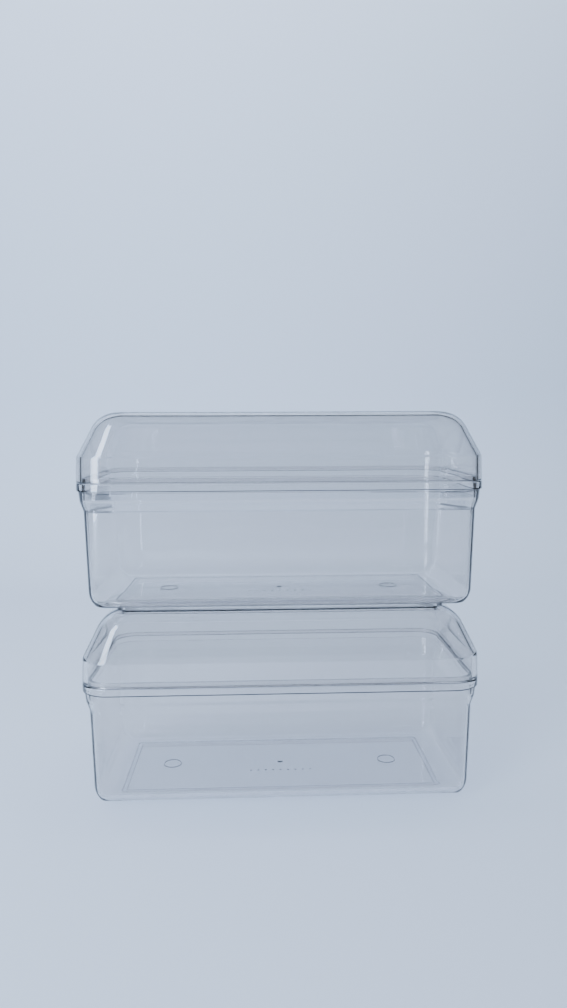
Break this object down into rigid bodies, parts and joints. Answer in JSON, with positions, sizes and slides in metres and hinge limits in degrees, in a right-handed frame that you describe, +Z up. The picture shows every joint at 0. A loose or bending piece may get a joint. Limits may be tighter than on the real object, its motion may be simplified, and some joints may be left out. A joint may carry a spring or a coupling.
{
  "type": "fridge bin",
  "caption": "Stacked pair of oblong clear plastic storage bins, each a drafted box with a flange and a loose bevelled lid that stands on it.",
  "frame": {"origin": "on the ground under the middle of the lower bin's foot rib", "axes": "+X along the bins, +Y across them to the back, +Z up"},
  "size_m": [0.1776, 0.0856, 0.1765],
  "materials": {
    "box_polystyrene": "crystal-clear moulded polystyrene, polished",
    "lid_polystyrene": "crystal-clear moulded polystyrene, polished"
  },
  "bodies": {
    "lower_box": {"lower_box": "box_polystyrene"},
    "lower_lid": {"lower_lid": "lid_polystyrene"},
    "upper_box": {"upper_box": "box_polystyrene"},
    "upper_lid": {"upper_lid": "lid_polystyrene"}
  },
  "joints": [
    {"name": "lower_lid_lift", "type": "slide", "parent": "lower_box", "child": "lower_lid", "axis": [0, 0, 1], "range_m": [0, 0.05]},
    {"name": "upper_box_lift", "type": "slide", "parent": "lower_lid", "child": "upper_box", "axis": [0, 0, 1], "range_m": [0, 0.05]},
    {"name": "upper_lid_lift", "type": "slide", "parent": "upper_box", "child": "upper_lid", "axis": [0, 0, 1], "range_m": [0, 0.05]}
  ]
}
